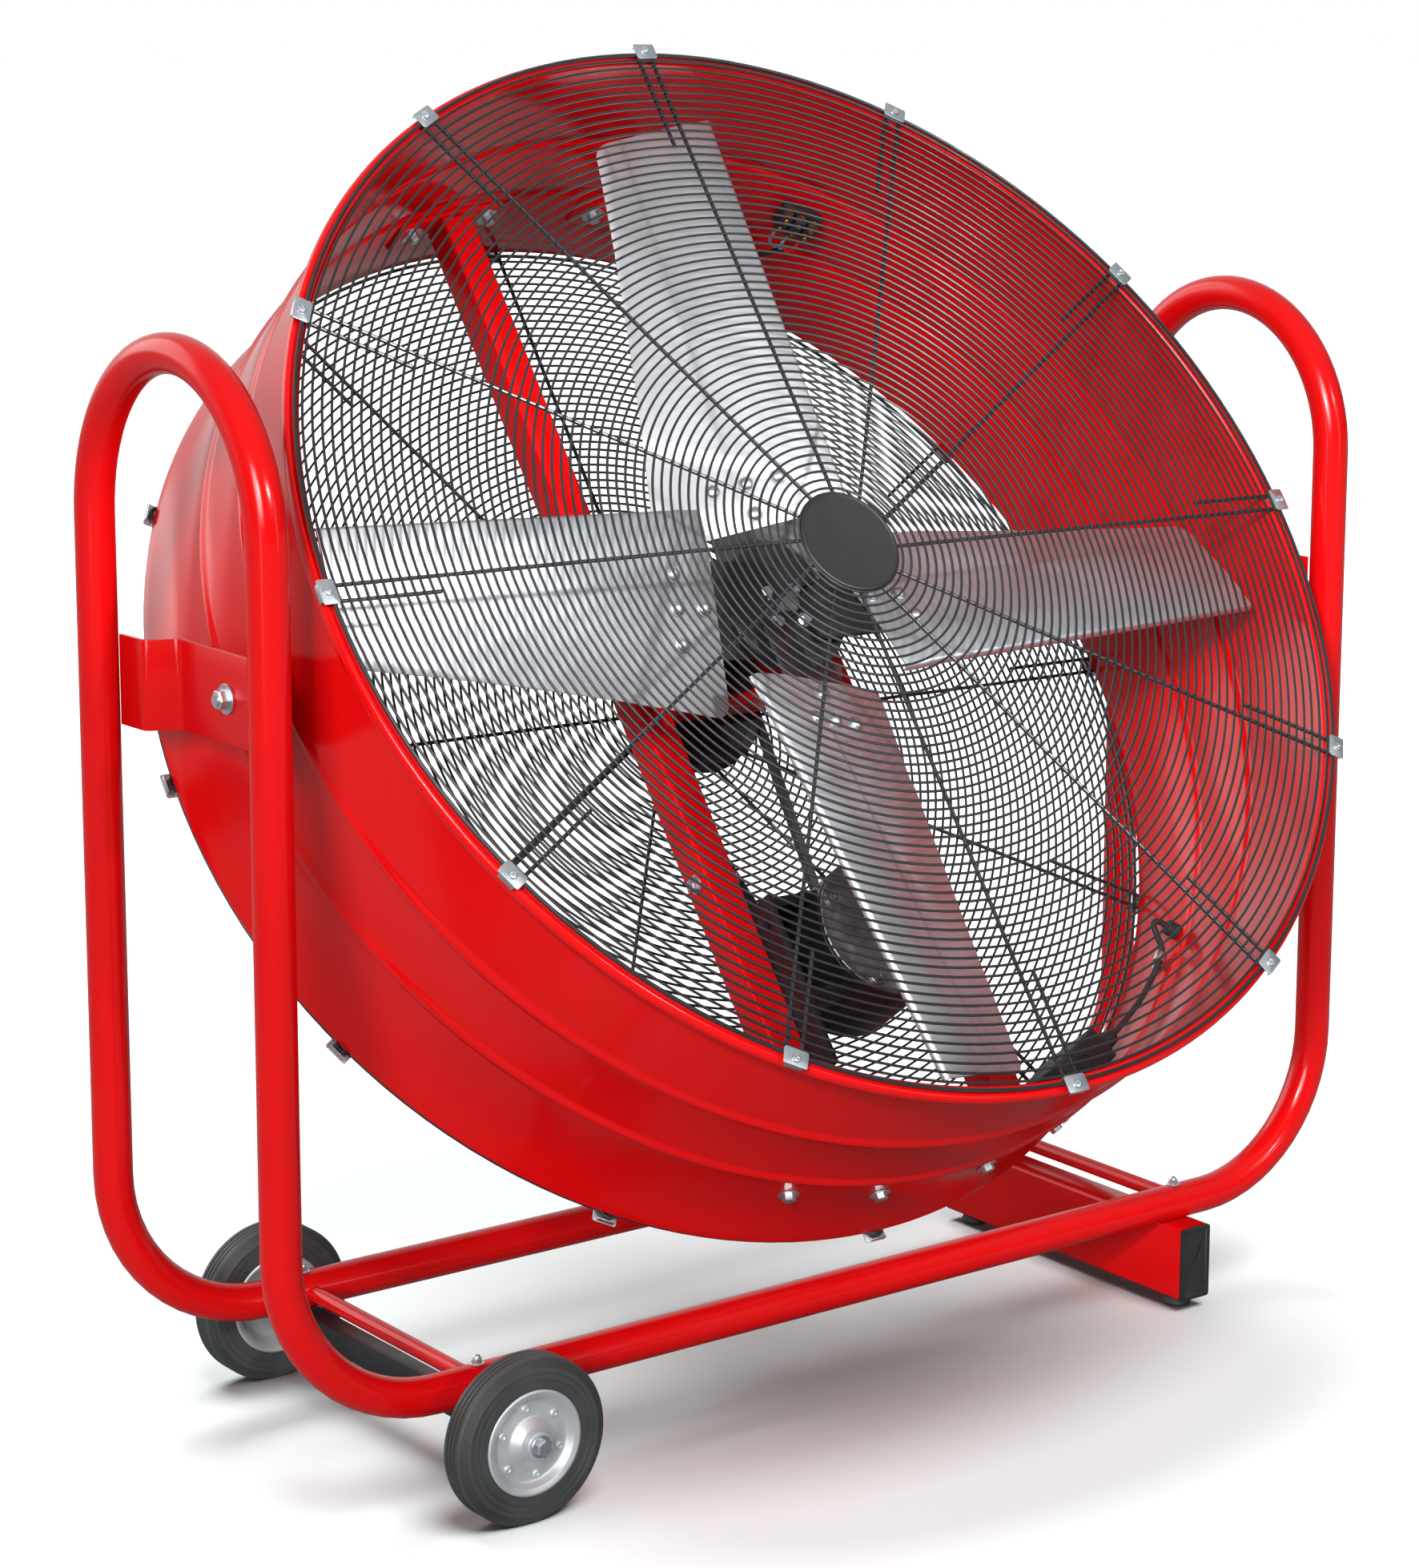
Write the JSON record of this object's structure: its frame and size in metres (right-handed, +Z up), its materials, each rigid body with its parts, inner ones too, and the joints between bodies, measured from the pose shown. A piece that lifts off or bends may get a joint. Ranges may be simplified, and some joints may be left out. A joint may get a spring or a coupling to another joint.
{
  "type": "drum fan",
  "caption": "Large mobile drum fan: a round sheet-metal drum with wire grilles and a belt-driven propeller, tilting in a tubular stand with wheels and a foot beam.",
  "frame": {"origin": "on the floor, under the middle of the whole fan", "axes": "+Z up; X across the fan from the wheel end (-X) to the foot end (+X), which is the tilt axis; air leaves towards -Y, raised by 37.15 degrees at rest"},
  "size_m": [1.4922, 1.1306, 1.4987],
  "materials": {
    "red_enamel": "glossy red powder coat",
    "black_paint": "semi-matt black paint",
    "grille_wire": "dark grey powder-coated wire",
    "badge_plastic": "matt dark plastic, bare",
    "zinc_plate": "bright blue zinc plate",
    "shaft_steel": "turned steel",
    "blade_aluminium": "mill-finish aluminium",
    "copper_windings": "varnished copper wire",
    "tyre_rubber": "grooved solid rubber",
    "soft_rubber": "black rubber",
    "black_plastic": "moulded black plastic"
  },
  "bodies": {
    "stand": {"left_frame_tube": "red_enamel", "right_frame_tube": "red_enamel", "cross_tube_left": "red_enamel", "cross_tube_right": "red_enamel", "axle_bolt_front": "zinc_plate", "axle_bolt_rear": "zinc_plate", "foot_bolt_front": "zinc_plate", "foot_bolt_rear": "zinc_plate", "foot_beam": "red_enamel", "beam_cap_front": "black_plastic", "beam_cap_rear": "black_plastic", "rubber_foot_front": "soft_rubber", "rubber_foot_rear": "soft_rubber", "axle_bar": "black_paint", "wheel_bolt_front": "zinc_plate", "wheel_bolt_rear": "zinc_plate", "bracket_left": "red_enamel", "bracket_right": "red_enamel", "pivot_bolt_left": "zinc_plate", "pivot_bolt_right": "zinc_plate"},
    "drum": {"drum_shell": "red_enamel", "front_grille": "grille_wire", "rear_grille": "grille_wire", "centre_badge": "badge_plastic", "beam_left": "red_enamel", "beam_right": "red_enamel", "beam_foot_left_top": "red_enamel", "beam_foot_left_bottom": "red_enamel", "beam_foot_right_top": "red_enamel", "beam_foot_right_bottom": "red_enamel", "cross_member": "red_enamel", "bearing_front": "black_paint", "bearing_rear": "black_paint", "pivot_spacer_left": "red_enamel", "pivot_spacer_right": "red_enamel", "drive_belt": "soft_rubber", "motor_body": "black_paint", "motor_windings": "copper_windings", "motor_end_shield": "blade_aluminium", "motor_mount": "black_paint", "junction_box": "black_plastic", "supply_cable": "soft_rubber", "cable_clip": "zinc_plate", "wall_grommet": "soft_rubber", "terminal_block": "black_plastic", "motor_cable": "soft_rubber", "motor_gland": "black_plastic"},
    "propeller": {"spider": "black_paint", "blade_1": "blade_aluminium", "blade_2": "blade_aluminium", "blade_3": "blade_aluminium", "blade_4": "blade_aluminium", "fan_shaft": "shaft_steel", "fan_pulley": "black_paint"},
    "motor_rotor": {"motor_spindle": "shaft_steel", "motor_pulley": "black_paint"},
    "wheel_front": {"tyre_front": "tyre_rubber", "rim_front": "zinc_plate"},
    "wheel_rear": {"tyre_rear": "tyre_rubber", "rim_rear": "zinc_plate"}
  },
  "joints": [
    {"name": "drum_tilt", "type": "hinge", "parent": "stand", "child": "drum", "pos_m": [0, 0, 0.845], "axis": [1, 0, 0], "range_deg": [-52.85, 127.15]},
    {"name": "fan_spin", "type": "hinge", "parent": "drum", "child": "propeller", "pos_m": [0, 0, 0.845], "axis": [0, -0.7971, 0.6039], "continuous": true},
    {"name": "motor_spin", "type": "hinge", "parent": "drum", "child": "motor_rotor", "pos_m": [0.029, -0.21801, 0.55726], "axis": [0, -0.7971, 0.6039], "continuous": true},
    {"name": "wheel_front_spin", "type": "hinge", "parent": "stand", "child": "wheel_front", "pos_m": [-0.491, -0.261, 0.09], "axis": [0, 1, 0], "continuous": true},
    {"name": "wheel_rear_spin", "type": "hinge", "parent": "stand", "child": "wheel_rear", "pos_m": [-0.491, 0.261, 0.09], "axis": [0, 1, 0], "continuous": true}
  ],
  "couplings": [
    {"joint": "motor_spin", "follows": "fan_spin", "ratio": 2.8}
  ]
}
